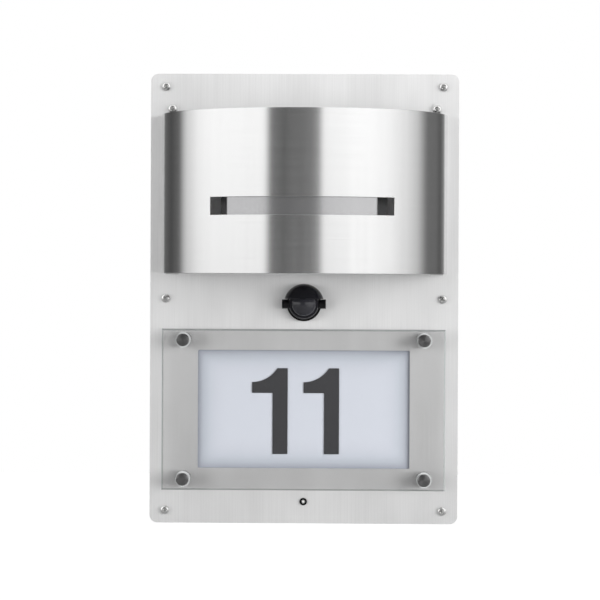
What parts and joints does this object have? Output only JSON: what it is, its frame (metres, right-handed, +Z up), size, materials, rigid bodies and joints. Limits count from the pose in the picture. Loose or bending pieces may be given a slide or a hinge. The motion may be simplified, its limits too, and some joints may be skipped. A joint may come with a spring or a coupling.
{
  "type": "illuminated house number sign",
  "caption": "Wall light with a flat steel face plate, a half-round slotted hood, a tilting motion sensor eye and a back-lit number window behind a clear panel.",
  "frame": {"origin": "on the wall plane, in the middle of the four wall screws in the back of the housing", "axes": "+Z up, -Y the way the sign looks, +X to the right of someone who faces it"},
  "size_m": [0.24, 0.141, 0.35],
  "materials": {
    "plate_steel": "vertical brushed grain, satin",
    "hood_steel": "fine horizontal brushed grain, bright",
    "screw_steel": "polished",
    "barrel_steel": "turned",
    "cap_steel": "dark turned and brushed",
    "clear_washer": "clear",
    "clear_panel": "clear with polished bevel",
    "opal": "satin opal",
    "digit_foil": "matt foil",
    "housing_plastic": "moulded, fine texture",
    "foam_rubber": "closed-cell foam",
    "black_rubber": "matt",
    "white_plastic": "moulded",
    "sensor_black": "moulded, satin",
    "sensor_lens": "smoked translucent",
    "dusk_clear": "clear dome",
    "carrier_aluminium": "milled",
    "board_white": "white solder mask",
    "board_green": "green solder mask",
    "led_phosphor": "yellow phosphor",
    "detector_can": "nickel-plated can",
    "relay_blue": "moulded",
    "capacitor_black": "sleeved",
    "knob_grey": "moulded",
    "tag_brass": "tinned brass",
    "lead_white": "insulation",
    "lead_black": "insulation",
    "lead_green": "green and yellow insulation"
  },
  "bodies": {
    "housing": {"board_capacitor": "capacitor_black", "board_relay": "relay_blue", "board_screws": "screw_steel", "cable_grommet": "black_rubber", "carrier_screws": "screw_steel", "control_board": "board_green", "control_lead": "lead_black", "digit_left": "digit_foil", "digit_right": "digit_foil", "driver_screws": "screw_steel", "dusk_bezel": "sensor_black", "dusk_cell": "dusk_clear", "dusk_lead": "lead_white", "earth_lead": "lead_green", "earth_nuts": "screw_steel", "earth_stud": "screw_steel", "earth_tag": "tag_brass", "face_plate": "plate_steel", "face_screws": "screw_steel", "hood": "hood_steel", "hood_screws": "screw_steel", "housing_gasket": "foam_rubber", "lamp_board": "board_white", "lamp_carrier": "carrier_aluminium", "lamp_diffuser": "opal", "lamp_gasket": "foam_rubber", "lamp_lead": "lead_white", "lamp_leds": "led_phosphor", "lamp_screws": "screw_steel", "lead_connectors": "white_plastic", "lead_grommet": "black_rubber", "led_driver": "white_plastic", "light_box": "white_plastic", "number_board": "board_white", "number_diffuser": "opal", "number_lead": "lead_white", "number_leds": "led_phosphor", "number_panel": "clear_panel", "plate_nuts": "screw_steel", "rear_housing": "housing_plastic", "sensor_collar": "sensor_black", "sensor_lead": "lead_white", "sensor_nut": "sensor_black", "standoff_barrels": "barrel_steel", "standoff_caps": "cap_steel", "standoff_nuts": "screw_steel", "standoff_washers": "clear_washer", "supply_lead": "lead_black", "terminal_block": "white_plastic", "terminal_screws": "screw_steel", "trimmer_bodies": "capacitor_black"},
    "sensor_head": {"sensor_ball": "sensor_black", "sensor_visor": "sensor_black", "sensor_lens": "sensor_lens", "pyro_board": "board_green", "pyro_detector": "detector_can"},
    "lux_adjuster": {"lux_knob": "knob_grey"},
    "time_adjuster": {"time_knob": "knob_grey"}
  },
  "joints": [
    {"name": "sensor_tilt", "type": "hinge", "parent": "housing", "child": "sensor_head", "pos_m": [0, -0.0355, -0.004], "axis": [1, 0, 0], "range_deg": [-15, 20]},
    {"name": "lux_turn", "type": "hinge", "parent": "housing", "child": "lux_adjuster", "pos_m": [0.11, -0.0151, 0.038], "axis": [1, 0, 0], "range_deg": [-135, 135]},
    {"name": "time_turn", "type": "hinge", "parent": "housing", "child": "time_adjuster", "pos_m": [0.11, -0.0151, 0.066], "axis": [1, 0, 0], "range_deg": [-135, 135]}
  ]
}
